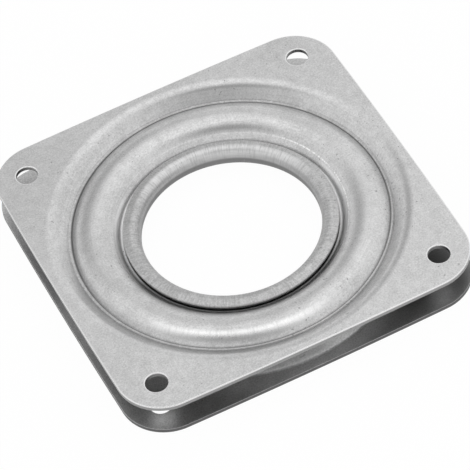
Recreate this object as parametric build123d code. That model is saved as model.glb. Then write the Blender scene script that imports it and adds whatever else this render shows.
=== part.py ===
from build123d import *
import os
from math import cos, radians, sin, sqrt, tan

# Square lazy susan turntable bearing: two pressed sheet steel plates with a ring
# of loose balls between them. Each plate is a square flange with a dished middle.
# A cone drops from the flange to a narrow land, and inside the land a round bead
# stands up again. The beads of the two plates are back to back with their hollows
# facing each other, which makes the ball race. The lower plate's bore is curled up
# and over the flat inner lip of the upper plate, and that holds the pair together.
#
# The origin is on the turning axis, level with the lower plate's mounting face.
# Z points up, and the plates' sides lie along X and Y. All sizes are millimetres.
# A drop is measured from a plate's own mounting face, on the skin that shows, and
# a bend is named by its inside radius.

# Flat blank of both plates
SHEET = 1.0             # thickness of the sheet steel
WIDTH = 76.2            # across the middles of two opposite sides
SIDE_BOW = 0.46         # how far the middle of a side stands out from its ends
CORNER_R = 9.7          # rounded corners of the outline
HOLE_INSET = 7.35       # screw hole centres from the middles of the sides
HOLE_D = 4.5            # screw holes
EDGE_BREAK = 0.12       # bevel along the flange's sheared edges

# Loose balls
BALL_D = 4.76
BALL_COUNT = 24
BALL_PLAY = 0.02        # running clearance between a ball and each race

# Pressed form of both plates, from the flange inwards
FLANGE_RIM = 2.45       # flat left between the cone and the middle of a side
CONE_BEND = 1.0         # bend from the flange into the cone
CONE_ANGLE = 38.0       # slope of the cone
LAND_WIDTH = 0.6        # narrow land between the cone and the bead
LAND_GAP = 1.14         # between the lands of the two plates
CREST_DROP = 0.57       # top of the bead
RACE_R = 5.0            # hollow side of the bead, in which the balls run
CREASE = 0.15           # the tight bends at the land and at the lip

# Inner lip of the upper plate, caught under the curl
FLANK_ANGLE = 40.0      # slope at which the round flank of the bead ends
LIP_SLOPE = 45.0        # straight slope from there down to the lip
LIP_PLAY = 0.56         # between the lip and the lower plate's floor
LIP_BORE_PLAY = 0.4     # between the lip's bore and the lower plate's wall

# Floor and curled bore of the lower plate
FLOOR_DROP = 1.88       # flat floor between the bead and the wall
THROAT_BEND = 0.2       # bend from the floor into the wall
CURL_PLAY = 0.15        # between the curl's edge and the lip below it
CURL_EDGE_INSET = 0.46  # from the foot of the lip's slope to the curl's edge
CURL_EDGE_BREAK = 0.25  # worn edge of the curl
CURL_LEG = 1.32         # straight part of the curl that droops to its edge
CURL_DROOP = 12.0       # slope of that part
CURL_R = 0.95           # the curl itself

# Levels that follow from those sizes
HEIGHT = BALL_D + 2 * (BALL_PLAY + SHEET + CREST_DROP)
LAND_DROP = (HEIGHT - LAND_GAP) / 2 - SHEET
LIP_DROP = HEIGHT - FLOOR_DROP - LIP_PLAY - 2 * SHEET


def run(drop, angle):
    """How far a slope of the given angle goes sideways over a drop."""
    return drop / tan(radians(angle))


def bead_half_width(drop, depth=0.0):
    """Half the width that the bead has at a drop, on its outer skin or deeper in."""
    radius = RACE_R + SHEET - depth
    centre_drop = CREST_DROP + RACE_R + SHEET
    return sqrt(radius**2 - (centre_drop - drop) ** 2)


def flank_end_drop(depth=0.0):
    """Where the bead's flank has turned down to its last slope, on either skin."""
    radius = RACE_R + SHEET - depth
    return CREST_DROP + RACE_R + SHEET - radius * cos(radians(FLANK_ANGLE))


# Radii that follow, each from the one outside it
CONE_R = WIDTH / 2 - FLANGE_RIM
LAND_R = CONE_R - run(LAND_DROP, CONE_ANGLE)
BALL_CIRCLE_R = LAND_R - LAND_WIDTH - bead_half_width(LAND_DROP)
FLANK_R = BALL_CIRCLE_R - bead_half_width(flank_end_drop())
LIP_R = FLANK_R - run(LIP_DROP - flank_end_drop(), LIP_SLOPE)
CURL_EDGE_R = LIP_R - CURL_EDGE_INSET
CURL_CENTRE_R = (
    CURL_EDGE_R
    - CURL_LEG * cos(radians(CURL_DROOP))
    - (CURL_R + SHEET) * sin(radians(CURL_DROOP))
)
THROAT_R = CURL_CENTRE_R - CURL_R - SHEET
LIP_BORE_R = THROAT_R + SHEET + LIP_BORE_PLAY


def far_skin_shift(angle):
    """How far a bend in the sheet lies sideways on its far skin."""
    return SHEET * tan(radians(angle) / 2)


def pressed_skin(depth, foot_drop):
    """One skin of the pressed form, from beyond the flange inwards over the bead to
    the given drop. Depth 0 is the skin that shows and SHEET the one with the race."""
    shift = far_skin_shift(CONE_ANGLE) * depth / SHEET
    land = LAND_DROP + depth
    land_foot = (BALL_CIRCLE_R + bead_half_width(land, depth), -land)
    crest = (BALL_CIRCLE_R, -CREST_DROP - depth)
    foot = (BALL_CIRCLE_R - bead_half_width(foot_drop, depth), -foot_drop)
    flange_to_land = FilletPolyline(
        (WIDTH, -depth),
        (CONE_R + shift, -depth),
        (LAND_R + shift, -land),
        land_foot,
        radius=[CONE_BEND + SHEET - depth, CREASE + depth],
    )
    return [flange_to_land, ThreePointArc(land_foot, crest, foot)], foot


def flange_blank():
    """The outline of the flange as a solid as deep as the dish: a square with four
    slightly bowed sides, round corners and the four screw holes."""
    half = WIDTH / 2 - SIDE_BOW
    side = ThreePointArc((half, -half), (WIDTH / 2, 0), (half, half))
    blank = make_face([side.rotate(Axis.Z, 90 * turn) for turn in range(4)])
    blank = fillet(blank.vertices(), CORNER_R)
    hole_pitch = WIDTH - 2 * HOLE_INSET
    blank -= GridLocations(hole_pitch, hole_pitch, 2, 2) * Circle(HOLE_D / 2)
    return extrude(blank, -HEIGHT)


def pressed_plate(outer_foot_drop, race_foot_drop, bore_lines):
    """A plate with its mounting face on Z = 0 and its dish below, cut from a dished
    disc. The given lines close the half section inside the bead."""
    outer, outer_foot = pressed_skin(0, outer_foot_drop)
    race, race_foot = pressed_skin(SHEET, race_foot_drop)
    rim = Line((WIDTH, 0), (WIDTH, -SHEET))
    section = make_face([rim, *outer, *race, *bore_lines(outer_foot, race_foot)])
    plate = revolve(Plane.XZ * section, Axis.Z) & flange_blank()
    flange_faces = plate.faces().filter_by(GeomType.PLANE).sort_by(SortBy.AREA)[-2:]
    sheared = [edge for face in flange_faces for edge in face.outer_wire().edges()]
    return chamfer(sheared, EDGE_BREAK)


def lip_lines(outer_foot, race_foot):
    """The upper plate's straight slope and flat lip."""
    lip = FilletPolyline(
        outer_foot,
        (LIP_R, -LIP_DROP),
        (LIP_BORE_R, -LIP_DROP),
        (LIP_BORE_R, -LIP_DROP - SHEET),
        (LIP_R + far_skin_shift(LIP_SLOPE), -LIP_DROP - SHEET),
        race_foot,
        radius=[CREASE, 0, 0, CREASE + SHEET],
    )
    return [lip]


def curl_lines(outer_foot, race_foot):
    """The lower plate's floor and wall, the curl at its end and the leg that droops
    from the curl over the lip."""
    droop = radians(CURL_DROOP)
    edge_drop = HEIGHT - LIP_DROP + CURL_PLAY
    centre_drop = edge_drop - CURL_R * cos(droop) + CURL_LEG * sin(droop)

    def wall_and_curl(foot, depth):
        """One skin from the floor to the end of the curl, and where the leg ends."""
        radius = CURL_R + SHEET - depth
        top = (THROAT_R + depth, -centre_drop)
        bend = THROAT_BEND + SHEET - depth
        wall = FilletPolyline(foot, (top[0], foot[1]), top, radius=[bend])
        end = (CURL_CENTRE_R + radius * sin(droop), -centre_drop - radius * cos(droop))
        tip = (end[0] + CURL_LEG * cos(droop), end[1] + CURL_LEG * sin(droop))
        return [wall, TangentArc(top, end, tangent=(0, -1))], end, tip

    outer, outer_end, outer_tip = wall_and_curl(outer_foot, 0)
    inner, inner_end, inner_tip = wall_and_curl(race_foot, SHEET)
    leg = FilletPolyline(
        outer_end, outer_tip, inner_tip, inner_end, radius=[CURL_EDGE_BREAK, 0]
    )
    return [*outer, leg, *inner]


def upper_plate():
    """The plate on top, dish down."""
    plate = pressed_plate(flank_end_drop(), flank_end_drop(SHEET), lip_lines)
    return Pos(0, 0, HEIGHT) * plate


def lower_plate():
    """The plate below, turned over so that its dish and curl stand up."""
    plate = pressed_plate(FLOOR_DROP, FLOOR_DROP + SHEET, curl_lines)
    return Rot(180, 0, 0) * plate


def ball_ring():
    """The loose balls, evenly spread, with their centres half way between the races."""
    places = PolarLocations(BALL_CIRCLE_R, BALL_COUNT)
    return [place * Pos(0, 0, HEIGHT / 2) * Sphere(BALL_D / 2) for place in places]


parts = {"upper_plate": upper_plate(), "lower_plate": lower_plate()}
for number, ball in enumerate(ball_ring(), start=1):
    parts[f"ball_{number:02d}"] = ball

os.makedirs("parts", exist_ok=True)
for name, shape in parts.items():
    export_step(shape, f"parts/{name}.step")
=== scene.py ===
"""Looks of the square lazy susan bearing: two pressed steel plates on a ring of balls.

Both plates are worked out again here with finer bends, sheared edges and hole rims than
their solids have, and every surface gets its finish from procedural nodes. Lengths named
below are millimetres, as on the drawing of the part, and meshes are made in metres.
"""

import bmesh
import bpy
import numpy as np
from mathutils import Matrix, Vector
from mathutils.geometry import delaunay_2d_cdt


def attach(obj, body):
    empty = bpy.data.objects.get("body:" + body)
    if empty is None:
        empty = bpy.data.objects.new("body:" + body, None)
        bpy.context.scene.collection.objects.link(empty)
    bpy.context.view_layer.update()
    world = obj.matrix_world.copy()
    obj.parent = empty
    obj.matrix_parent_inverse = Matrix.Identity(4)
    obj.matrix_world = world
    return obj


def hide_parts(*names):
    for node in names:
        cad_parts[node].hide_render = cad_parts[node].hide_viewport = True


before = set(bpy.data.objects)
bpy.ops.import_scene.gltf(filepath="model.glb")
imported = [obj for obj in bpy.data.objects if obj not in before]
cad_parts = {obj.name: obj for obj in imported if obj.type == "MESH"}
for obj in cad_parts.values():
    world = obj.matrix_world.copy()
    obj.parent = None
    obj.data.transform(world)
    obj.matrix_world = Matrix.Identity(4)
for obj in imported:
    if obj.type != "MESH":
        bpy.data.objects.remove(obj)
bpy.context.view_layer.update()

MM = 0.001

# Flat blank of both plates
SHEET = 1.0
WIDTH = 76.2
SIDE_BOW = 0.46
CORNER_R = 9.7
HOLE_INSET = 7.35
HOLE_D = 4.5

# Pressed form of both plates, from the flange inwards
BALL_D = 4.76
BALL_PLAY = 0.02
FLANGE_RIM = 2.45
CONE_BEND = 3.6         # softer on the skin that shows than inside
CONE_BEND_INSIDE = 1.0
CONE_ANGLE = np.radians(38.0)
LAND_WIDTH = 0.6
LAND_BEND = 0.8
LAND_GAP = 1.14
CREST_DROP = 0.57
RACE_R = 5.0
CREASE = 0.15

# Inner lip of the upper plate
FLANK_ANGLE = np.radians(43.0)
LIP_SLOPE = np.radians(45.6)
LIP_BEND = 0.7
LIP_PLAY = 0.56
LIP_BORE_PLAY = 0.4

# Floor and curled bore of the lower plate
FLOOR_DROP = 1.88
THROAT_BEND = 0.2
CURL_PLAY = 0.15
CURL_EDGE_INSET = 0.46
CURL_EDGE_BREAK = 0.35
CURL_LEG = 1.32
CURL_DROOP = np.radians(12.0)
CURL_R = 0.95

# Sheared edges: rolled over where the punch went in, and a small bevel where it came out
ROLLOVER_WIDTH = 0.22
ROLLOVER_DEPTH = 0.16
BURR_BEVEL = 0.05
BORE_BREAK = 0.1        # upper edge of the lip's bore
CURL_BURR = 0.06        # lower edge of the curl's leg

# Fineness of the meshes
COLUMNS = 320           # round the axis
ARC_STEP = np.radians(5.0)
ROLLOVER_POINTS = 7
HOLD = 0.04             # flat strip kept beside each bend, so that flats shade flat
SIDE_STEPS = 24
CORNER_STEPS = 24
HOLE_STEPS = 64
RIM_PLAY = 0.001        # a point this far off an opening's rim still counts as on it
SAME_POINT = 1e-6       # two points as near as this are one
FLAT_PLAY = 1e-7        # the same for points of a flat that is cut into triangles
WELD_REACH = 2e-7       # in metres
WORN_RADIUS = 0.3       # a bend as tight as this is fully worn, or fully darkened in a hollow

# Sizes that follow
HEIGHT = BALL_D + 2 * (BALL_PLAY + SHEET + CREST_DROP)
LAND_DROP = (HEIGHT - LAND_GAP) / 2 - SHEET
LIP_DROP = HEIGHT - FLOOR_DROP - LIP_PLAY - 2 * SHEET
BEAD_R = RACE_R + SHEET
BEAD_CENTRE_DROP = CREST_DROP + BEAD_R
FLANK_DROP = BEAD_CENTRE_DROP - BEAD_R * np.cos(FLANK_ANGLE)


def bead_half_width(drop):
    """Half the bead's width on its outer skin: the circle of radius BEAD_R at that drop."""
    return np.sqrt(BEAD_R**2 - (BEAD_CENTRE_DROP - drop) ** 2)


CONE_R = WIDTH / 2 - FLANGE_RIM
LAND_R = CONE_R - LAND_DROP / np.tan(CONE_ANGLE)
BALL_CIRCLE_R = LAND_R - LAND_WIDTH - bead_half_width(LAND_DROP)
LIP_R = BALL_CIRCLE_R - bead_half_width(FLANK_DROP)
LIP_R -= (LIP_DROP - FLANK_DROP) / np.tan(LIP_SLOPE)
CURL_EDGE_R = LIP_R - CURL_EDGE_INSET
CURL_CENTRE_R = (
    CURL_EDGE_R - CURL_LEG * np.cos(CURL_DROOP) - (CURL_R + SHEET) * np.sin(CURL_DROOP)
)
THROAT_R = CURL_CENTRE_R - CURL_R - SHEET
LIP_BORE_R = THROAT_R + SHEET + LIP_BORE_PLAY


# Half sections: points (radius, height below the mounting face as a negative number)


def arc(centre, radius, start, end):
    """Points of a circle from one angle to another: centre + radius * (cos, sin)."""
    count = max(3, int(np.ceil(abs(end - start) / ARC_STEP)) + 1)
    turn = np.linspace(start, end, count)[:, None]
    return np.array(centre) + radius * np.hstack([np.cos(turn), np.sin(turn)])


def bend(before, corner, after, radius):
    """The arc that rounds a corner and touches both of its runs. Its points are
    first + radius * (sin t * along + (1 - cos t) * across), from t = 0 to the turn."""
    along, onward = corner - before, after - corner
    along, onward = along / np.linalg.norm(along), onward / np.linalg.norm(onward)
    turn = np.arccos(np.clip(along @ onward, -1, 1))
    across = onward - (onward @ along) * along
    across /= np.linalg.norm(across)
    first = corner - along * radius * np.tan(turn / 2)
    count = max(4, int(np.ceil(turn / ARC_STEP)) + 1)
    t = np.linspace(0, turn, count)[:, None]
    return first + radius * (np.sin(t) * along + (1 - np.cos(t)) * across)


def rounded_run(corners, radii):
    """A line through the corners, each inner one rounded by its own radius."""
    corners = [np.array(c, float) for c in corners]
    inner = zip(corners, corners[1:], corners[2:], radii)
    bends = [bend(before, corner, after, r) for before, corner, after, r in inner]
    return [corners[0][None], *bends, corners[-1][None]]


def foot(level, side, depth):
    """The arc between a flat at the level's drop and the bead's skin: its centre lies a
    crease's radius above the flat and as far outside the bead's circle."""
    up = BEAD_CENTRE_DROP - level + CREASE
    reach = np.sqrt((BEAD_R + CREASE) ** 2 - up**2)
    centre = (BALL_CIRCLE_R + side * reach, -level + CREASE)
    towards_bead = np.arctan2(-up, -side * reach) % (2 * np.pi)
    return arc(centre, CREASE + depth, 1.5 * np.pi, towards_bead)


def bead_and_flange(depth, bead_end):
    """One skin from the flange inwards to the point where the bead ends, given as its
    angle on the bead's circle. Depth 0 is the skin that shows, SHEET the race's."""
    shift = depth * np.tan(CONE_ANGLE / 2)
    land_foot = foot(LAND_DROP, 1, depth)
    land = -LAND_DROP - depth
    cone_bend = CONE_BEND_INSIDE if depth else CONE_BEND
    cone = rounded_run(
        [(WIDTH, -depth), (CONE_R + shift, -depth), (LAND_R + shift, land), land_foot[0]],
        [cone_bend, LAND_BEND + depth],
    )
    centre = np.array([BALL_CIRCLE_R, -BEAD_CENTRE_DROP])
    first = land_foot[-1] - centre
    radius = BEAD_R - depth
    bead = arc(centre, radius, np.arctan2(*first[::-1]), bead_end - HOLD / radius)[1:]
    end = centre + radius * np.array([np.cos(bead_end), np.sin(bead_end)])
    return [*cone[1:-1], land_foot, bead, end[None]]


def held(stretches):
    """All stretches as one line, with a point HOLD from each end of a long straight run."""
    line = [stretches[0]]
    for before, after in zip(stretches, stretches[1:]):
        start, end = before[-1], after[0]
        run = end - start
        length = np.linalg.norm(run)
        if length > 3 * HOLD:
            line.append(np.array([start + run * HOLD / length, end - run * HOLD / length]))
        line.append(after if length > SAME_POINT else after[1:])
    return np.vstack(line)


def upper_section():
    """The upper plate's skin that shows, with its slope and flat lip, and the skin inside."""
    flank_end = np.pi / 2 + FLANK_ANGLE
    outer, race = (bead_and_flange(depth, flank_end) for depth in (0, SHEET))
    lip = rounded_run(
        [
            outer[-1][-1],
            (LIP_R, -LIP_DROP),
            (LIP_BORE_R, -LIP_DROP),
            (LIP_BORE_R, -LIP_DROP - SHEET),
            (LIP_R + SHEET * np.tan(LIP_SLOPE / 2), -LIP_DROP - SHEET),
            race[-1][-1],
        ],
        [LIP_BEND, BORE_BREAK, BURR_BEVEL, LIP_BEND + SHEET],
    )
    return [*outer, *lip[1:4]], [lip[4], *[s[::-1] for s in race[::-1]]]


def lower_section():
    """The lower plate's skin that shows, with its floor, wall, curl and the curl's leg,
    and the skin inside."""
    edge_drop = HEIGHT - LIP_DROP + CURL_PLAY
    centre_drop = edge_drop - CURL_R * np.cos(CURL_DROOP) + CURL_LEG * np.sin(CURL_DROOP)
    centre = np.array([CURL_CENTRE_R, -centre_drop])
    leg = CURL_LEG * np.array([np.cos(CURL_DROOP), np.sin(CURL_DROOP)])
    skins, tips = [], []
    for depth in (0, SHEET):
        floor_foot = foot(FLOOR_DROP, -1, depth)[::-1]
        bead = floor_foot[0] - [BALL_CIRCLE_R, -BEAD_CENTRE_DROP]
        skin = bead_and_flange(depth, np.arctan2(*bead[::-1]))[:-1]
        level = -FLOOR_DROP - depth
        wall = rounded_run(
            [floor_foot[-1], (THROAT_R + depth, level), (THROAT_R + depth, -centre_drop)],
            [THROAT_BEND + SHEET - depth],
        )
        curl = arc(centre, CURL_R + SHEET - depth, np.pi, 1.5 * np.pi + CURL_DROOP)
        skins.append([*skin, floor_foot, wall[1], curl])
        tips.append(curl[-1] + leg)
    ends = [skin[-1][-1] for skin in skins]
    edge = rounded_run([ends[0], *tips, ends[1]], [CURL_EDGE_BREAK, CURL_BURR])
    return [*skins[0], *edge[1:-1]], [s[::-1] for s in skins[1][::-1]]


def sheared_edge():
    """Section of a sheared edge as inset and height: a quarter ellipse rolled over at the
    mounting face, the straight wall and a small bevel at the far face."""
    t = np.linspace(0, np.pi / 2, ROLLOVER_POINTS)[:, None]
    roll = np.hstack(
        [ROLLOVER_WIDTH * (1 - np.sin(t)), -ROLLOVER_DEPTH * (1 - np.cos(t))]
    )
    wall_end = -SHEET + BURR_BEVEL
    rest = [
        [0, -ROLLOVER_DEPTH - HOLD],
        [0, wall_end + HOLD],
        [0, wall_end],
        [BURR_BEVEL, -SHEET],
        [BURR_BEVEL + HOLD, -SHEET],
    ]
    return np.vstack([[ROLLOVER_WIDTH + HOLD, 0], roll, rest])


def sharpness(line):
    """How tightly a section turns at each point: the angle between its two runs over the
    mean of their lengths, positive where the sheet bulges and negative in a hollow."""
    runs = np.diff(line, axis=0)
    length = np.linalg.norm(runs, axis=1)
    before, after = runs[:-1], runs[1:]
    cross = before[:, 0] * after[:, 1] - before[:, 1] * after[:, 0]
    turn = np.arctan2(cross, (before * after).sum(1))
    return np.concatenate([[0], 2 * turn / (length[:-1] + length[1:]), [0]])


# Meshes


def ring_faces(rows, columns):
    """Quads between neighbouring rows of a grid whose columns close round."""
    row, column = np.meshgrid(np.arange(rows - 1), np.arange(columns), indexing="ij")
    onward = (column + 1) % columns
    here, there = row * columns, (row + 1) * columns
    quads = np.stack([here + column, there + column, there + onward, here + onward], -1)
    return quads.reshape(-1, 4)


def revolved(line):
    """A half section carried round the axis: (r cos a, r sin a, z) over rows and angles. A
    section that starts on top and runs inwards goes round clockwise to face outwards."""
    turn = np.linspace(2 * np.pi, 0, COLUMNS, endpoint=False)
    r, z = line[:, :1], line[:, 1:]
    return np.stack([r * np.cos(turn), r * np.sin(turn), z + 0 * turn], -1)


def outline_path():
    """The bowed square with round corners as centres, radii and angles of its arcs. A
    side's radius is (half chord squared + bow squared) over twice the bow, and a corner's
    centre lies on the diagonal, a side's radius less its own from the side's centre."""
    half = WIDTH / 2 - SIDE_BOW
    side_r = (half**2 + SIDE_BOW**2) / (2 * SIDE_BOW)
    back = side_r - WIDTH / 2
    corner = (np.sqrt(2 * (side_r - CORNER_R) ** 2 - back**2) - back) / 2
    meet = np.arctan2(corner, corner + back)
    side = np.linspace(-meet, meet, SIDE_STEPS, endpoint=False)
    bow = np.linspace(meet, np.pi / 2 - meet, CORNER_STEPS, endpoint=False)
    quarter = np.vstack(
        [
            np.column_stack([0 * side - back, 0 * side, 0 * side + side_r, side]),
            np.column_stack([0 * bow + corner, 0 * bow + corner, 0 * bow + CORNER_R, bow]),
        ]
    )
    turns = np.repeat(np.arange(4) * np.pi / 2, len(quarter))
    x, y, radius, angle = np.tile(quarter, (4, 1)).T
    centre = np.column_stack(
        [x * np.cos(turns) - y * np.sin(turns), x * np.sin(turns) + y * np.cos(turns)]
    )
    return centre, radius, angle + turns


def hole_path(x, y):
    """A screw hole as centres, radii and angles. Its radius is negative and its angles
    start opposite, so that an inset goes away from the hole, into the sheet."""
    angle = -np.linspace(0, 2 * np.pi, HOLE_STEPS, endpoint=False)
    centre = np.tile([x, y], (HOLE_STEPS, 1))
    return centre, np.full(HOLE_STEPS, -HOLE_D / 2), angle


def swept_edge(path):
    """The sheared edge carried along a path: centre + (radius - inset) * (cos, sin)."""
    centre, radius, angle = path
    section = sheared_edge()
    reach = radius[None, :] - section[:, :1]
    x = centre[:, 0] + reach * np.cos(angle)
    y = centre[:, 1] + reach * np.sin(angle)
    return np.stack([x, y, section[:, 1:] + 0 * reach], -1)


def flat_face(loops, facing):
    """The flat between closed loops of points at one height: the first loop is the outer
    edge and the rest are round openings. A triangle with all its corners on the rim of
    one opening lies in it and goes."""
    points = np.vstack(loops)
    counts = [len(loop) for loop in loops]
    starts = np.cumsum([0, *counts[:-1]])
    edges = [
        (int(s + i), int(s + (i + 1) % n))
        for s, n in zip(starts, counts)
        for i in range(n)
    ]
    made = delaunay_2d_cdt([Vector(p[:2]) for p in points], edges, [], 1, FLAT_PLAY)
    place = np.array([tuple(v) for v in made[0]])
    faces = np.array(made[2])
    keep = np.ones(len(faces), bool)
    for loop in loops[1:]:
        centre = loop[:, :2].mean(0)
        radius = np.linalg.norm(loop[0, :2] - centre)
        from_rim = np.linalg.norm(place[faces] - centre, axis=2) - radius
        keep &= (np.abs(from_rim) > RIM_PLAY).any(1)
    faces = faces[keep]
    a, b, c = (place[faces[:, i]] for i in range(3))
    turned = np.cross(b - a, c - a) * facing < 0
    faces[turned] = faces[turned][:, ::-1]
    return np.column_stack([place, np.full(len(place), points[0, 2])]), faces


def plate_mesh(name, shown, inside, turned_over, height):
    """A whole plate: its revolved dish, the sheared outline and holes, and the flange's
    two flats between them, welded where their edges meet. Each point keeps how worn an
    edge it lies on, how tight a hollow, and whether it is on a sheared wall or inside."""
    line = held([*shown, *inside])
    inner = (np.arange(len(line) + 2) > len(held(shown))) * 1.0
    line = np.vstack([line[0] + [HOLD, 0], line, line[-1] + [HOLD, 0]])
    edge = sheared_edge()
    inset = WIDTH / 2 - HOLE_INSET
    corners = [(inset, inset), (-inset, inset), (-inset, -inset), (inset, -inset)]
    dish = revolved(line)
    edges = [swept_edge(outline_path()), *[swept_edge(hole_path(*c)) for c in corners]]
    on_wall = (edge[:, 0] == 0) * 1.0
    far_side = (edge[:, 1] == -SHEET) * 1.0
    parts, marks = [], []
    swept = [(dish, line, 0 * inner, inner)]
    swept += [(grid, edge, on_wall, far_side) for grid in edges]
    for grid, section, wall, far in swept:
        rows, columns = grid.shape[:2]
        parts.append((grid.reshape(-1, 3), ring_faces(rows, columns)))
        turns = sharpness(section)
        row_marks = np.column_stack([turns, -turns, wall, far])
        marks.append(np.repeat(row_marks, columns, axis=0))
    for row, facing in ((0, 1), (-1, -1)):
        loops = [edges[0][row], dish[row], *[grid[row] for grid in edges[1:]]]
        parts.append(flat_face(loops, facing))
        marks.append(np.tile([0, 0, 0, facing < 0], (len(parts[-1][0]), 1)))
    faces, first = [], 0
    for place, part in parts:
        faces += (part + first).tolist()
        first += len(place)
    place = np.vstack([place for place, _ in parts])
    if turned_over:
        place = place * [1, -1, -1]
    mesh = bpy.data.meshes.new(name)
    mesh.from_pydata(((place + [0, 0, height]) * MM).tolist(), [], faces)
    sharp, hollow, wall, far = np.vstack(marks).T
    for label, values in (
        ("edge_wear", np.clip(sharp * WORN_RADIUS, 0, 1)),
        ("hollow", np.clip(hollow * WORN_RADIUS, 0, 1)),
        ("sheared_wall", wall),
        ("inside", far),
    ):
        layer = mesh.attributes.new(label, "FLOAT", "POINT")
        layer.data.foreach_set("value", values.astype(np.float32))
    weld(mesh)
    piece = bpy.data.objects.new(name, mesh)
    bpy.context.scene.collection.objects.link(piece)
    return piece


def weld(mesh):
    """Joins the points that lie on each other and shades the mesh smooth."""
    work = bmesh.new()
    work.from_mesh(mesh)
    bmesh.ops.remove_doubles(work, verts=work.verts, dist=WELD_REACH)
    work.to_mesh(mesh)
    work.free()
    mesh.shade_smooth()


upper = plate_mesh("upper_plate_pressed", *upper_section(), False, HEIGHT)
lower = plate_mesh("lower_plate_pressed", *lower_section(), True, 0)
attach(upper, "upper")
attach(lower, "lower")
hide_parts("upper_plate")
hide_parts("lower_plate")


# Node groups that the finishes share


def put(tree, kind, sockets, **settings):
    """Adds a node, sets it up, and links or fills its input sockets."""
    made = tree.nodes.new("ShaderNode" + kind)
    for key, value in settings.items():
        setattr(made, key, value)
    for key, value in sockets.items():
        if isinstance(value, bpy.types.NodeSocket):
            tree.links.new(value, made.inputs[key])
        else:
            made.inputs[key].default_value = value
    return made


def maths(tree, operation, *values):
    """A Math node's result."""
    return put(tree, "Math", dict(enumerate(values)), operation=operation).outputs[0]


def product(tree, first, *others):
    """Shares multiplied together."""
    for other in others:
        first = maths(tree, "MULTIPLY", first, other)
    return first


def noise(tree, place, scale, detail=2.0, roughness=0.5, across=None):
    """A noise texture's value, in three dimensions, or four where across is given. The
    scale is how many grains go into a metre."""
    sockets = {"Vector": place, "Scale": scale, "Detail": detail, "Roughness": roughness}
    if across is not None:
        sockets["W"] = across
    dimensions = "3D" if across is None else "4D"
    return put(tree, "TexNoise", sockets, noise_dimensions=dimensions).outputs[0]


def step_up(tree, value, low, high, to_low=0.0, to_high=1.0):
    """A smooth step of the value between low and high."""
    sockets = {"Value": value, "From Min": low, "From Max": high}
    sockets |= {"To Min": to_low, "To Max": to_high}
    return put(tree, "MapRange", sockets, interpolation_type="SMOOTHSTEP").outputs[0]


def new_group(name, amounts, results):
    """A shader group with the named amounts going in and the named results coming out."""
    tree = bpy.data.node_groups.new(name, "ShaderNodeTree")
    for label, value in amounts.items():
        socket = tree.interface.new_socket(
            label, in_out="INPUT", socket_type="NodeSocketFloat"
        )
        socket.default_value = value
    for label in results:
        tree.interface.new_socket(label, in_out="OUTPUT", socket_type="NodeSocketFloat")
    return tree, tree.nodes.new("NodeGroupInput").outputs


def give(tree, **results):
    """Hands a group's results to its outputs."""
    output = tree.nodes.new("NodeGroupOutput")
    for label, value in results.items():
        tree.links.new(value, output.inputs[label])


def object_place(tree):
    """The point on the piece, in metres from the part's origin."""
    return put(tree, "TexCoord", {}).outputs["Object"]


def zinc_grain():
    """Mottling of zinc plate: crystals of a third of a millimetre, clouds of two and
    washes of seventeen, as a tone from 0 to 1. Also the crystals' height, and a few dark
    specks."""
    tree, amount = new_group(
        "zinc_grain",
        {"Crystals": 0.6, "Clouds": 0.3, "Washes": 0.2, "Speckled": 0.0},
        ["Tone", "Height", "Specks"],
    )
    place = object_place(tree)
    crystals = noise(tree, place, 3000, 2, 0.7)
    clouds = noise(tree, place, 500, 2, 0.5)
    washes = noise(tree, place, 60, 2)
    tone = 0.5
    for value, label in ((crystals, "Crystals"), (clouds, "Clouds"), (washes, "Washes")):
        centred = maths(tree, "SUBTRACT", value, 0.5)
        tone = maths(tree, "MULTIPLY_ADD", centred, amount[label], tone)
    peaks = step_up(tree, noise(tree, place, 1900, 0), 0.77, 0.81)
    patches = step_up(tree, noise(tree, place, 90, 0), 0.55, 0.65)
    specks = product(tree, peaks, patches, amount["Speckled"])
    give(tree, Tone=tone, Height=crystals, Specks=specks)
    return tree


def round_marks():
    """Marks of the press round the axis. Rings follow it: noise over (radius, level) that
    changes slowly with the direction. Streaks run across them: noise over the direction
    that changes slowly with the radius and level."""
    tree, amount = new_group(
        "round_marks", {"Ring width": 0.3, "Streak width": 0.3}, ["Rings", "Streaks"]
    )
    x, y, z = put(tree, "SeparateXYZ", {0: object_place(tree)}).outputs
    flat = put(tree, "CombineXYZ", {0: x, 1: y}).outputs[0]
    radius = put(tree, "VectorMath", {0: flat}, operation="LENGTH").outputs["Value"]
    way = put(tree, "VectorMath", {0: flat}, operation="NORMALIZE").outputs[0]
    way_x, way_y, _ = put(tree, "SeparateXYZ", {0: way}).outputs
    fine = maths(tree, "DIVIDE", 1 / MM, amount["Ring width"])
    across = [maths(tree, "MULTIPLY", side, fine) for side in (radius, z)]
    around = [maths(tree, "MULTIPLY", side, 2.5) for side in (way_x, way_y)]
    ringed = put(tree, "CombineXYZ", {0: across[0], 1: across[1], 2: around[0]}).outputs[0]
    rings = noise(tree, ringed, 1.0, 2, 0.6, across=around[1])
    turns = maths(tree, "DIVIDE", 22, amount["Streak width"])
    spread = [maths(tree, "MULTIPLY", side, turns) for side in (way_x, way_y)]
    along = [maths(tree, "MULTIPLY", side, 420) for side in (radius, z)]
    streaked = put(tree, "CombineXYZ", {0: spread[0], 1: spread[1], 2: along[0]}).outputs[0]
    streaks = noise(tree, streaked, 1.0, 2, 0.6, across=along[1])
    give(tree, Rings=rings, Streaks=streaks)
    return tree


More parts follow.
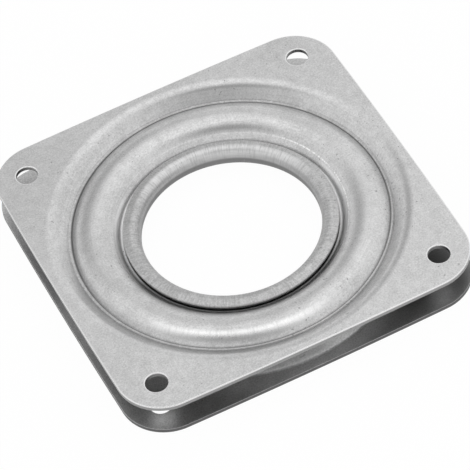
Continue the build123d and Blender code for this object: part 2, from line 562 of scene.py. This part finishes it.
def edges_and_hollows():
    """Where the plate is worn bright and where it is darker in its hollows: the mesh's own
    marks, broken up by noise of half a millimetre."""
    tree, amount = new_group(
        "edges_and_hollows", {"Worn": 0.8, "Dirty": 0.8}, ["Worn", "Dirty"]
    )
    patches = noise(tree, object_place(tree), 1700, 3, 0.6)
    made = {}
    for label, mark in (("Worn", "edge_wear"), ("Dirty", "hollow")):
        value = put(tree, "Attribute", {}, attribute_name=mark).outputs["Fac"]
        strong = maths(tree, "MULTIPLY", value, amount[label])
        broken = maths(tree, "MULTIPLY_ADD", patches, 1.2, strong)
        made[label] = product(tree, strong, step_up(tree, broken, 0.55, 1.0))
    give(tree, **made)
    return tree


def fine_scratches():
    """Hairline scratches: three noises drawn out 60 to 1 in different directions, of
    which only the highest ridges are kept, and only in some patches."""
    tree, amount = new_group("fine_scratches", {"Amount": 1.0}, ["Scratch"])
    place = object_place(tree)
    found = []
    for turn, offset in ((0.5, 0.0), (-0.9, 0.37), (1.9, 0.81)):
        drawn = put(
            tree,
            "Mapping",
            {
                "Vector": place,
                "Location": (offset, offset, 0),
                "Rotation": (0, 0, turn),
                "Scale": (60, 3600, 900),
            },
        ).outputs[0]
        line = noise(tree, drawn, 1.0, 1)
        patch = noise(tree, drawn, 0.13, 1)
        ridge = step_up(tree, line, 0.72, 0.78)
        found.append(product(tree, ridge, step_up(tree, patch, 0.52, 0.6)))
    deepest = maths(tree, "MAXIMUM", maths(tree, "MAXIMUM", *found[:2]), found[2])
    give(tree, Scratch=product(tree, deepest, amount["Amount"]))
    return tree


GRAIN, MARKS = zinc_grain(), round_marks()
EDGE_AND_HOLLOW_MARKS, SCRATCHES = edges_and_hollows(), fine_scratches()


def use(tree, group, **amounts):
    """A group placed in a material with its own amounts, as its results."""
    made = put(tree, "Group", {}, node_tree=group)
    for label, value in amounts.items():
        made.inputs[label.replace("_", " ")].default_value = value
    return made.outputs


def mixed(tree, share, first, second):
    """One colour laid over another by a share that changes over the surface."""
    sockets = {0: share, 6: first, 7: second}
    return put(tree, "Mix", sockets, data_type="RGBA").outputs[2]


def grey(value):
    """An opaque grey."""
    return (value, value, value, 1)


def ramp(tree, value, stops):
    """A colour ramp through greys, given as pairs of position and grey."""
    made = put(tree, "ValToRGB", {0: value})
    bar = made.color_ramp.elements
    for element, (position, shade) in zip(bar, stops):
        element.position, element.color = position, grey(shade)
    for position, shade in stops[2:]:
        bar.new(position).color = grey(shade)
    return made.outputs[0]


# Finishes

# Sides of the bearing, as directions from the axis, by which painted light and shade are
# placed; the near side faces the camera
NEAR_SIDE = (-0.326, -0.946)
LEFT_SIDE = (-0.946, 0.326)
RIGHT_SIDE = (1.0, -0.33)
LIT_SIDE = (-0.4, -0.917)

# Radii between which a mark sets in or ends, in millimetres
STAMPED = (36.5, 34.0)          # the press's rings and streaks
STREAKED_COLLAR = (24.0, 22.4)
SHADED_CONE = (36.2, 35.2)
SHADED_FLANK = (30.5, 31.5)     # the foot of the bead, on its left
FLANK_FOOT = (32.0, 31.8)
SHADOWED_GROOVE = (22.05, 21.85)
THROAT = (20.7, 20.1)
TIP_START, TIP_END = (21.6, 21.8), (22.4, 22.2)

# How far from the axis towards a side a mark sets in and is full
NEAR_HALF, FAR_HALF = (-6.0, 12.0), (-7.0, -15.0)
NEAR_END = (0.0, 28.0)
RIGHT_HALF, LEFT_END, LIT_END = (6.0, 20.0), (16.0, 27.0), (22.0, 29.0)
BOTH_SIDES = (0.0, 14.0, 8.0)   # a band as below, across the near side's direction
SHADED_HALF = (9.0, 0.0)         # along X

# Bands round the axis: the middle's radius, and how far from it a mark starts and is full
FOOT_LINE = (32.0, 0.34, 0.12)
LIP_SLOPE_BAND = (22.65, 0.95, 0.5)
CREASE_LINE = (23.62, 0.16, 0.05)
CROWN = (29.9, 1.3, 0.2)

# Levels in the throat and under the curl, above the lower mounting face, where painted shade
# sets in
THROAT_LOW, THROAT_DEEP = (5.5, 5.0), (4.4, 3.8)
UNDER_CURL = (5.3, 4.9)
THROAT_SPAN = 8.0               # the level that ends the ramp of the throat's greys
THROAT_GREYS = [(0.47, 0.22), (0.6, 0.4)]

# Painted shade between the plates, in round patches: middle, reach and strength
SHADE_PATCHES = (((31, -27), 14, 0.8), ((-44, 6), 26, 0.1))

# Greys laid over the zinc: dark ones for painted shade, darker hollows and specks, light ones
# for painted highlights
GROOVE_SHADOW_GREY, CURL_SHADOW_GREY, SHADE_GREY, SPECK, HOLLOW_GREY = 0.04, 0.1, 0.12, 0.14, 0.16
FAR_COLLAR_SHEEN, CROWN_HIGHLIGHT_GREY, CREASE_HIGHLIGHT_GREY, SLOPE_HIGHLIGHT_GREY = 0.68, 0.86, 0.9, 0.92


def zone(tree, value, places, weak=0.0, strong=1.0):
    """A smooth step between two places given in millimetres."""
    return step_up(tree, value, places[0] * MM, places[1] * MM, weak, strong)


def band(tree, value, places, strength=1.0):
    """A soft band: the step of |value - middle| from its start to where it is full."""
    middle, start, full = places
    away = maths(tree, "ABSOLUTE", maths(tree, "SUBTRACT", value, middle * MM))
    return zone(tree, away, (start, full), 0.0, strength)


def toward(tree, place, side):
    """How far a point lies from the axis towards a side: x * side x + y * side y."""
    x, y, _ = place
    return maths(tree, "MULTIPLY_ADD", x, side[0], maths(tree, "MULTIPLY", y, side[1]))


def coated(tree, colour, *coats):
    """Greys laid over a colour one after another, each given as its share and its grey."""
    for share, shade in coats:
        colour = mixed(tree, share, colour, grey(shade))
    return colour


def shade_between_plates(tree, colour, inside, flat):
    """Round patches of painted shade on the surfaces that face the other plate."""
    for middle, reach, strength in SHADE_PATCHES:
        middle = [side * MM for side in middle] + [0]
        away = put(tree, "VectorMath", {0: flat, 1: middle}, operation="DISTANCE")
        shade_patch = zone(tree, away.outputs["Value"], (reach, reach / 2), 0.0, strength)
        colour = coated(tree, colour, (product(tree, inside, shade_patch), SHADE_GREY))
    return colour


def curl_marks(tree, colour, place, radius, streaks, inside):
    """Painted light and shade of the curled plate: painted shade on half of its cone, a
    painted sheen on the collar's far side, a throat painted darker downwards as shade,
    and a painted shadow under the curl's tip."""
    x, _, z = place
    near = toward(tree, place, NEAR_SIDE)
    # Painted shade on half of the cone, on the side towards the other plate.
    half_cone = zone(tree, x, SHADED_HALF, 0.0, 0.6)
    cone_shade = product(tree, zone(tree, radius, SHADED_CONE), half_cone, inside)
    throat = zone(tree, radius, THROAT)
    # A painted sheen on the collar's far side, broken by streaks.
    far_side = zone(tree, near, FAR_HALF)
    broken = step_up(tree, streaks, 0.3, 0.62, 0.35, 1.0)
    far_sheen = product(tree, throat, far_side, broken)
    colour = coated(tree, colour, (cone_shade, SHADE_GREY), (far_sheen, FAR_COLLAR_SHEEN))
    # Painted shade: the throat darker towards the lower mounting face.
    low = zone(tree, z, THROAT_LOW, 0.0, 0.6)
    deep = zone(tree, z, THROAT_DEEP, 0.0, 0.5)
    shade = product(tree, throat, maths(tree, "ADD", low, deep))
    depths = ramp(tree, maths(tree, "DIVIDE", z, THROAT_SPAN * MM), THROAT_GREYS)
    colour = mixed(tree, maths(tree, "MINIMUM", shade, 1.0), colour, depths)
    # Painted shadow under the curl's tip, strongest on the near side.
    tip = product(tree, zone(tree, radius, TIP_START), zone(tree, radius, TIP_END))
    near_tip = zone(tree, near, NEAR_HALF, 0.15, 1.0)
    under = product(tree, tip, zone(tree, z, UNDER_CURL), near_tip)
    return coated(tree, colour, (under, CURL_SHADOW_GREY))


def bead_marks(tree, colour, place, radius, streaks):
    """Painted light and shade of the plate with the flat lip: a painted shadow in the groove
    round the collar, a painted highlight on the lip slope at both sides and on the crease
    above it, a shaded foot on the left of the bead, and a painted highlight on the crown
    where it is lit. Also returns that highlight's share."""
    near = toward(tree, place, NEAR_SIDE)
    # Painted shadow in the groove round the collar, strongest on the near side.
    groove = zone(tree, radius, SHADOWED_GROOVE)
    groove = product(tree, groove, zone(tree, near, NEAR_HALF, 0.2, 1.0))
    # Painted highlight on the lip slope at both sides.
    both_sides = band(tree, near, BOTH_SIDES)
    slope = product(tree, band(tree, radius, LIP_SLOPE_BAND, 0.65), both_sides)
    # Painted highlight along the crease, strongest at the right.
    broken = step_up(tree, streaks, 0.35, 0.6)
    right = zone(tree, toward(tree, place, RIGHT_SIDE), RIGHT_HALF, 0.25, 1.0)
    crease = product(tree, band(tree, radius, CREASE_LINE), broken, right)
    flank = zone(tree, radius, SHADED_FLANK, 0.0, 0.3)
    left = zone(tree, toward(tree, place, LEFT_SIDE), LEFT_END)
    flank = product(tree, flank, zone(tree, radius, FLANK_FOOT), left)
    # Painted highlight on the crown where it is lit, also made smoother.
    lit = zone(tree, toward(tree, place, LIT_SIDE), LIT_END)
    streaky = step_up(tree, streaks, 0.25, 0.6, 0.6, 1.0)
    crown = product(tree, band(tree, radius, CROWN), lit, streaky)
    coats = (groove, GROOVE_SHADOW_GREY), (slope, SLOPE_HIGHLIGHT_GREY), (crease, CREASE_HIGHLIGHT_GREY)
    return coated(tree, colour, *coats, (flank, SHADE_GREY), (crown, CROWN_HIGHLIGHT_GREY)), crown


def zinc_plated_sheet(name, dark, light, wall_tone, inside_tone, curled):
    """Bright zinc on pressed sheet: mottled greys, press marks, worn edges, darker hollows, a
    dull sheared wall darkened also as painted shade, its own greys inside, painted shade
    between the plates and along the bead's foot, and each plate's own painted light and
    shade."""
    finish = bpy.data.materials.new(name)
    finish.use_nodes = True
    tree = finish.node_tree
    shader = tree.nodes["Principled BSDF"]
    shader.inputs["Metallic"].default_value = 1.0
    grain = use(tree, GRAIN, Crystals=0.85, Clouds=0.3, Washes=0.3, Speckled=0.6)
    marks = use(tree, MARKS, Ring_width=0.35, Streak_width=0.3)
    edge_and_hollow_marks = use(tree, EDGE_AND_HOLLOW_MARKS, Worn=0.35 if curled else 0.9, Dirty=0.9)
    scratch = use(tree, SCRATCHES)["Scratch"]
    wall = put(tree, "Attribute", {}, attribute_name="sheared_wall").outputs["Fac"]
    inside = put(tree, "Attribute", {}, attribute_name="inside").outputs["Fac"]
    place = put(tree, "SeparateXYZ", {0: object_place(tree)}).outputs[:]
    flat = put(tree, "CombineXYZ", {0: place[0], 1: place[1]}).outputs[0]
    radius = put(tree, "VectorMath", {0: flat}, operation="LENGTH").outputs["Value"]

    pressed = zone(tree, radius, STAMPED)
    streaks = maths(tree, "SUBTRACT", marks["Streaks"], 0.5)
    rings = maths(tree, "SUBTRACT", marks["Rings"], 0.5)
    ring_share = product(tree, pressed, 0.25)
    collar = zone(tree, radius, STREAKED_COLLAR, 0.12, 0.7) if curled else 0.12
    streak_share = product(tree, pressed, collar)
    tone = maths(tree, "MULTIPLY_ADD", rings, ring_share, grain["Tone"])
    tone = maths(tree, "MULTIPLY_ADD", streaks, streak_share, tone)
    colour = ramp(tree, tone, [(0.3, dark), (0.7, light)])
    # The faces towards the other plate take their own greys.
    inside_greys = ramp(tree, tone, [(0.3, inside_tone * 0.7), (0.7, inside_tone * 1.2)])
    colour = mixed(tree, product(tree, inside, 0.85), colour, inside_greys)
    colour = shade_between_plates(tree, colour, inside, flat)
    # Painted shade, with dirt, along the crease at the bead's outer foot, weaker on the near
    # side.
    less_foot_shade = zone(tree, toward(tree, place, NEAR_SIDE), NEAR_END, 1.0, 0.45)
    foot_shade_and_dirt = product(tree, band(tree, radius, FOOT_LINE, 0.7), less_foot_shade)
    # Sheared walls darker, as cut steel and as painted shade, and hollows darker.
    wall_share = product(tree, wall, 0.85)
    coats = (wall_share, wall_tone), (edge_and_hollow_marks["Dirty"], HOLLOW_GREY), (foot_shade_and_dirt, SHADE_GREY)
    colour = coated(tree, colour, *coats)
    if curled:
        colour = curl_marks(tree, colour, place, radius, marks["Streaks"], inside)
    else:
        colour, lit_crown = bead_marks(tree, colour, place, radius, marks["Streaks"])
    bright = light * 1.15
    hairlines = product(tree, scratch, 0.4)
    coats = (grain["Specks"], SPECK), (edge_and_hollow_marks["Worn"], bright), (hairlines, bright)
    colour = coated(tree, colour, *coats)
    tree.links.new(colour, shader.inputs["Base Color"])

    base = (0.52, 0.44) if curled else (0.38, 0.30)
    dull = step_up(tree, tone, 0.3, 0.7, *base)
    changes = [(edge_and_hollow_marks["Dirty"], 0.15), (edge_and_hollow_marks["Worn"], -0.08), (wall, 0.1)]
    changes += [(inside, -0.06)] if curled else [(lit_crown, -0.06), (inside, 0.04)]
    for share, change in changes:
        dull = maths(tree, "MULTIPLY_ADD", share, change, dull)
    tree.links.new(dull, shader.inputs["Roughness"])

    height = grain["Height"]
    for share, depth in ((streaks, streak_share), (rings, ring_share), (scratch, -0.5)):
        height = maths(tree, "MULTIPLY_ADD", share, depth, height)
    bump = put(tree, "Bump", {"Strength": 0.5, "Distance": 0.012 * MM, "Height": height})
    tree.links.new(bump.outputs[0], shader.inputs["Normal"])
    return finish


def ball_steel():
    """Hard polished balls: faint clouds and the fine scuffs of rolling."""
    finish = bpy.data.materials.new("ball_steel")
    finish.use_nodes = True
    tree = finish.node_tree
    shader = tree.nodes["Principled BSDF"]
    shader.inputs["Metallic"].default_value = 1.0
    grain = use(tree, GRAIN, Crystals=0.2, Clouds=0.5, Washes=0.2)
    scratch = use(tree, SCRATCHES)["Scratch"]
    colour = ramp(tree, grain["Tone"], [(0.35, 0.56), (0.65, 0.66)])
    tree.links.new(colour, shader.inputs["Base Color"])
    dull = step_up(tree, grain["Tone"], 0.35, 0.65, 0.2, 0.1)
    dull = maths(tree, "MULTIPLY_ADD", scratch, 0.25, dull)
    tree.links.new(dull, shader.inputs["Roughness"])
    bump = put(tree, "Bump", {"Strength": 0.3, "Distance": 0.004 * MM, "Height": scratch})
    tree.links.new(bump.outputs[0], shader.inputs["Normal"])
    return finish


upper_zinc = zinc_plated_sheet(
    "zinc_upper_plate", dark=0.46, light=0.68, wall_tone=0.28, inside_tone=0.50, curled=False
)
lower_zinc = zinc_plated_sheet(
    "zinc_lower_plate", dark=0.38, light=0.58, wall_tone=0.08, inside_tone=0.54, curled=True
)
upper.data.materials.append(upper_zinc)
lower.data.materials.append(lower_zinc)
polished = ball_steel()
for name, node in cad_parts.items():
    if name.startswith("ball"):
        node.material_slots[0].material = polished


# Floor, light and camera

SENSOR_WIDTH, FOCAL_LENGTH = 36, 273.26
CAMERA_AZIMUTH = -109.03        # from +X towards +Y, in degrees
CAMERA_ROWS = (                 # its three axes as columns, and its place in metres
    (0.89196, 0.39923, -0.21221, -0.15118),
    (-0.43960, 0.65599, -0.61354, -0.43841),
    (-0.10574, 0.64054, 0.76061, 0.54462),
    (0, 0, 0, 1),
)
CARD_DISTANCE = 1.25
CARD_FADE = (1.0, 0.15)         # from a card's edge to where it is solid
FLOOR_REACH, FLOOR_LEVEL = 3.0, -0.00005


def background_share(tree, share):
    """The share of a surface's own brightness that the camera, gloss and glass see."""
    rays = put(tree, "LightPath", {}).outputs
    direct = maths(tree, "MAXIMUM", rays["Is Camera Ray"], rays["Is Glossy Ray"])
    direct = maths(tree, "MAXIMUM", direct, rays["Is Transmission Ray"])
    return maths(tree, "MULTIPLY", direct, share)


def staged(name, mesh, finish):
    """A piece of the set, which isn't part of the bearing."""
    mesh.materials.append(finish)
    made = bpy.data.objects.new(name, mesh)
    bpy.context.scene.collection.objects.link(made)
    return made


def white_paper():
    """Matt white paper that shows as white, with a share left for the shadow."""
    finish = bpy.data.materials.new("white_paper")
    finish.use_nodes = True
    tree = finish.node_tree
    matt = tree.nodes["Principled BSDF"]
    matt.inputs["Base Color"].default_value = grey(0.9)
    matt.inputs["Roughness"].default_value = 0.9
    matt.inputs["Specular IOR Level"].default_value = 0
    white = put(tree, "Emission", {"Strength": 1.0})
    share = background_share(tree, 0.97)
    both = put(tree, "MixShader", {0: share, 1: matt.outputs[0], 2: white.outputs[0]})
    tree.links.new(both.outputs[0], tree.nodes["Material Output"].inputs["Surface"])
    return finish


def flat_rectangle(name, half_width, half_height, level):
    """A level rectangle about the origin, facing up."""
    mesh = bpy.data.meshes.new(name)
    signs = ((-1, -1), (1, -1), (1, 1), (-1, 1))
    corners = [(x * half_width, y * half_height, level) for x, y in signs]
    mesh.from_pydata(corners, [], [(0, 1, 2, 3)])
    return mesh


def studio_card(name, azimuth, elevation, half_angles, glow):
    """A soft-edged card of the studio, square to the bearing: an ellipse of the given
    half angles at a direction from it, the azimuth counted clockwise from the camera.
    A glow over 1 is a lamp's diffuser, and one under 1 a grey flag."""
    turn = np.radians(CAMERA_AZIMUTH - azimuth)
    rise = np.radians(elevation)
    level = np.cos(rise)
    out = Vector((level * np.cos(turn), level * np.sin(turn), np.sin(rise)))
    side = Vector((-np.sin(turn), np.cos(turn), 0))
    up = out.cross(side)
    width, height = (CARD_DISTANCE * np.tan(np.radians(a)) for a in half_angles)
    mesh = flat_rectangle(name, width, height, 0)
    finish = bpy.data.materials.new(name)
    finish.use_nodes = True
    tree = finish.node_tree
    shader = tree.nodes["Principled BSDF"]
    shader.inputs["Base Color"].default_value = grey(0)
    shader.inputs["Specular IOR Level"].default_value = 0
    shader.inputs["Emission Color"].default_value = grey(1)
    shader.inputs["Emission Strength"].default_value = glow
    per_half = {"Vector": object_place(tree), "Scale": (1 / width, 1 / height, 1)}
    scaled = put(tree, "Mapping", per_half).outputs[0]
    away = put(tree, "VectorMath", {0: scaled}, operation="LENGTH").outputs["Value"]
    tree.links.new(step_up(tree, away, *CARD_FADE), shader.inputs["Alpha"])
    turned = Matrix((side, up, out)).transposed().to_4x4()
    turned.translation = out * CARD_DISTANCE
    staged(name, mesh, finish).matrix_world = turned


floor_mesh = flat_rectangle("floor", FLOOR_REACH, FLOOR_REACH, FLOOR_LEVEL)
staged("floor", floor_mesh, white_paper())
studio_card("overhead_diffuser", 180, 78, (46, 32), 1.35)
studio_card("front_diffuser", 8, 10, (52, 16), 1.7)
studio_card("flag_round_camera", 16, 69, (34, 20), 0.1)
studio_card("flag_behind", 154, 36, (30, 24), 0.4)
studio_card("flag_at_the_right", 280, 6, (40, 16), 0.2)

world = bpy.data.worlds.new("white_studio")
world.use_nodes = True
world.node_tree.nodes["Background"].inputs["Color"].default_value = grey(1)
world.node_tree.nodes["Background"].inputs["Strength"].default_value = 1.0
bpy.context.scene.world = world

lens = bpy.data.cameras.new("photo_camera")
lens.sensor_width = SENSOR_WIDTH
lens.lens = FOCAL_LENGTH
camera = bpy.data.objects.new("photo_camera", lens)
camera.matrix_world = Matrix(CAMERA_ROWS)
bpy.context.scene.collection.objects.link(camera)
bpy.context.scene.camera = camera

bpy.context.scene.view_settings.view_transform = "Standard"
